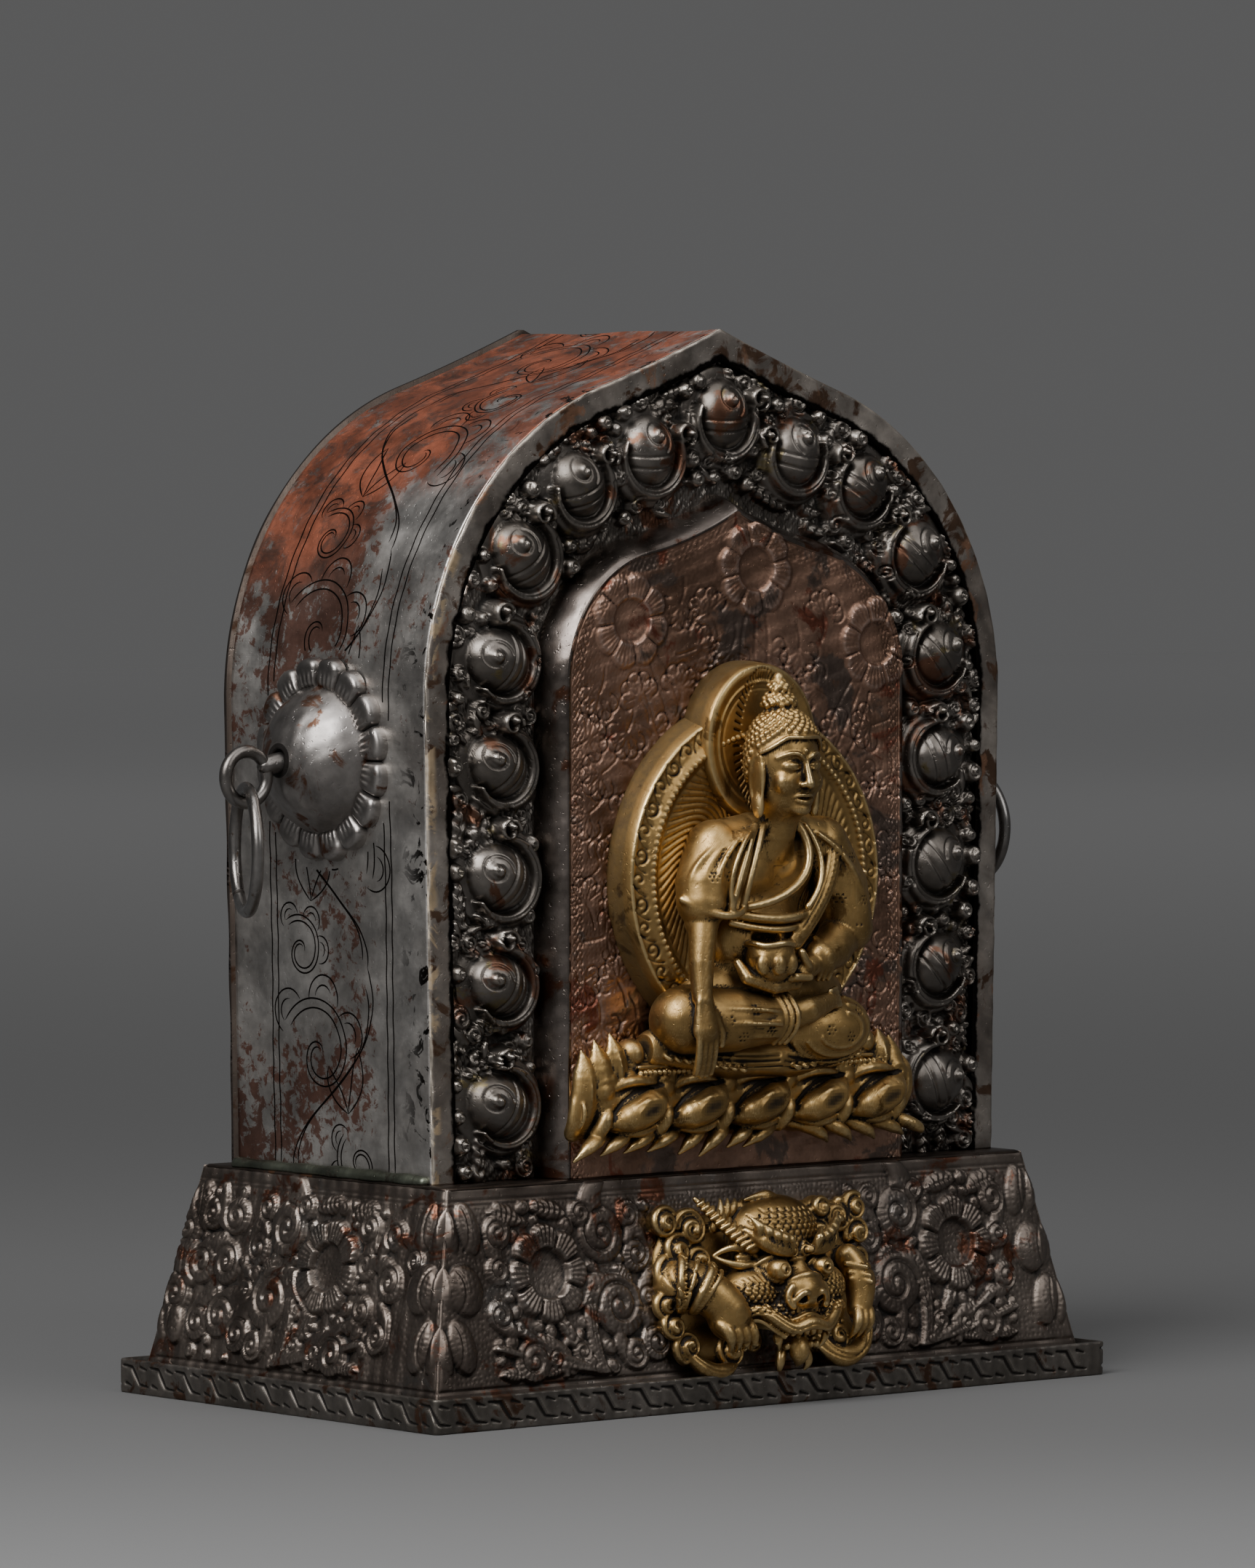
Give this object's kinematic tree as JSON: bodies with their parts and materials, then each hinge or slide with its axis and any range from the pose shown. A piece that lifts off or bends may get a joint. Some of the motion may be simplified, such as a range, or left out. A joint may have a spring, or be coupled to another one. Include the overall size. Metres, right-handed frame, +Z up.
{
  "type": "arched shrine box",
  "caption": "Arched metal shrine box on a flared plinth, with a relief front, a swinging ring handle on each side and a removable back cover.",
  "frame": {"origin": "middle of the base plate's underside, which is also the middle of the strip round the foot", "axes": "+X to the right as seen from the front, +Y towards the back, +Z up; the relief front faces -Y"},
  "size_m": [0.1979, 0.1094, 0.211],
  "materials": {
    "dark_sheet": "dark brown patina, satin",
    "worn_band": "worn pewter grey with brown patches, key-fret strokes",
    "chased_plinth": "pewter-brown chased relief, polished on the high spots",
    "solder": "grey-green solder, rough",
    "engraved_sheet": "brushed silver-grey with rust-brown and copper-red patches, engraved scrolls",
    "worn_rim": "worn pewter grey, brown patches, bright edges",
    "black_repousse": "black silver relief, glossy, polished on the high spots",
    "copper_panel": "dark red-brown copper with stippled and engraved leaves",
    "gilt": "old gilt brass, dark in the hollows",
    "boss_metal": "polished grey on the dome, dark between the petals",
    "wire": "drawn wire, satin",
    "cover_sheet": "plain brushed sheet with brown patina"
  },
  "bodies": {
    "shrine": {"base_plate": "dark_sheet", "fret_band": "worn_band", "plinth_front": "chased_plinth", "plinth_back": "chased_plinth", "plinth_left": "chased_plinth", "plinth_right": "chased_plinth", "plinth_deck": "dark_sheet", "solder_fillets": "solder", "side_wall": "engraved_sheet", "front_rim": "worn_rim", "border_panel": "black_repousse", "centre_panel": "copper_panel", "mandorla": "gilt", "head_halo": "gilt", "seated_figure": "gilt", "lotus_base": "gilt", "guardian_mask": "gilt", "left_petal_collar": "boss_metal", "right_petal_collar": "boss_metal", "left_dome": "boss_metal", "right_dome": "boss_metal", "left_washer": "wire", "right_washer": "wire"},
    "left_eye": {"left_eye": "wire"},
    "right_eye": {"right_eye": "wire"},
    "left_ring": {"left_ring": "wire"},
    "right_ring": {"right_ring": "wire"},
    "back_cover": {"back_cover": "cover_sheet"}
  },
  "joints": [
    {"name": "left_eye_swivel", "type": "hinge", "parent": "shrine", "child": "left_eye", "pos_m": [-0.08538, 0, 0.1262], "axis": [1, 0, 0], "range_deg": [-45, 45]},
    {"name": "left_ring_swing", "type": "hinge", "parent": "left_eye", "child": "left_ring", "pos_m": [-0.09258, 0, 0.1231], "axis": [0, 1, 0], "range_deg": [-10, 150]},
    {"name": "right_eye_swivel", "type": "hinge", "parent": "shrine", "child": "right_eye", "pos_m": [0.08538, 0, 0.1262], "axis": [1, 0, 0], "range_deg": [-45, 45]},
    {"name": "right_ring_swing", "type": "hinge", "parent": "right_eye", "child": "right_ring", "pos_m": [0.09258, 0, 0.1231], "axis": [0, -1, 0], "range_deg": [-10, 150]},
    {"name": "back_cover_slide", "type": "slide", "parent": "shrine", "child": "back_cover", "axis": [0, 1, 0], "range_m": [0, 0.06]}
  ]
}
